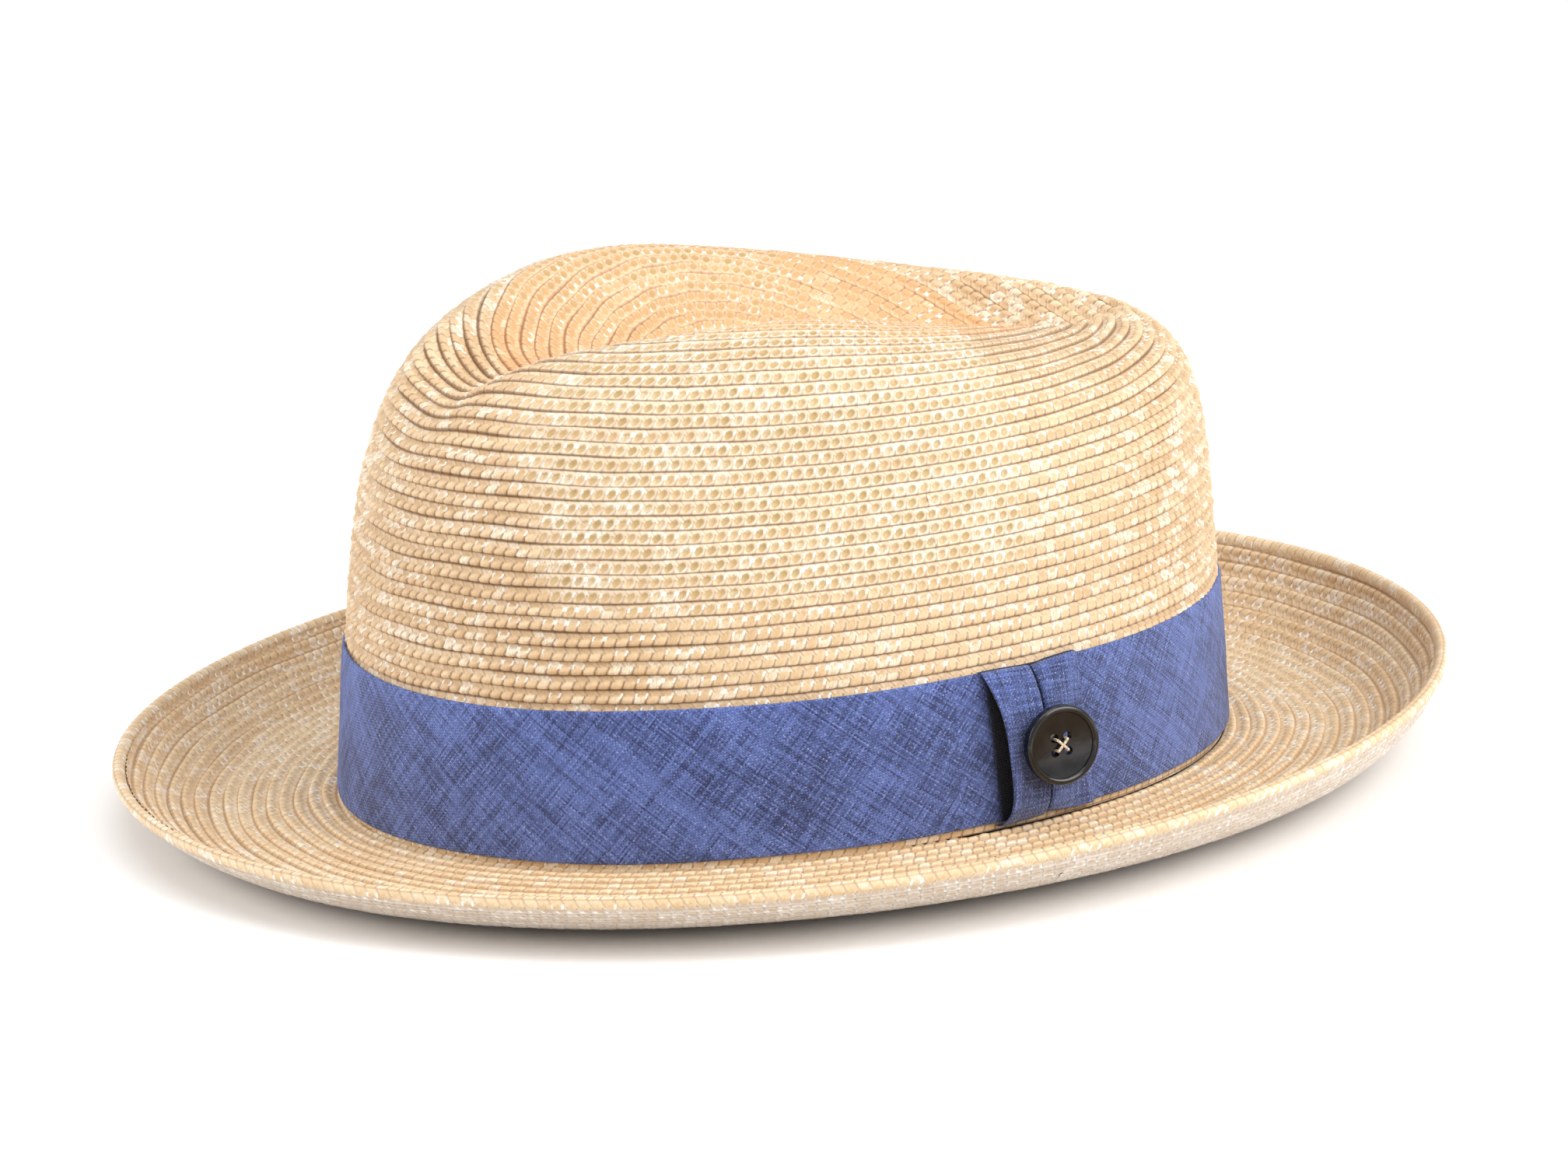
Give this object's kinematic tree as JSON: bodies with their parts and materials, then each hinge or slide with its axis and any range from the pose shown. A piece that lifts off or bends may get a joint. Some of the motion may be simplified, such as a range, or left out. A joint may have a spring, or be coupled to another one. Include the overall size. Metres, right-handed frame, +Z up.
{
  "type": "fedora hat",
  "caption": "Pale gold straw fedora with a teardrop crown, curled brim, blue fabric band and a keeper with a dark button.",
  "frame": {"origin": "on the floor under the middle of the hat as it lies on its brim", "axes": "+Z up, -Y towards the front of the hat, +X towards the wearer's left"},
  "size_m": [0.2702, 0.3092, 0.1148],
  "materials": {
    "straw": "satin woven straw",
    "band_cloth": "matt",
    "thread": "matt",
    "pale_thread": "matt",
    "horn": "gloss",
    "sweat_cloth": "matt",
    "reed": "matt"
  },
  "bodies": {
    "hat": {"straw_crown": "straw", "tip_coil": "straw", "straw_brim": "straw", "rim_course": "straw", "hat_band": "band_cloth", "band_tacks": "thread", "keeper": "band_cloth", "button_shank": "thread", "sweatband": "sweat_cloth", "sweatband_reed": "reed", "sweatband_stitches": "thread", "sweatband_tape": "sweat_cloth"},
    "sewn_button": {"button": "horn", "button_thread": "pale_thread"}
  },
  "joints": [
    {"name": "button_turn", "type": "hinge", "parent": "hat", "child": "sewn_button", "pos_m": [0.08827, 0.02139, 0.02448], "axis": [0.9974, 0.0023, 0.0715], "range_deg": [-20, 20], "stiffness_Nm_per_rad": 0.002}
  ]
}
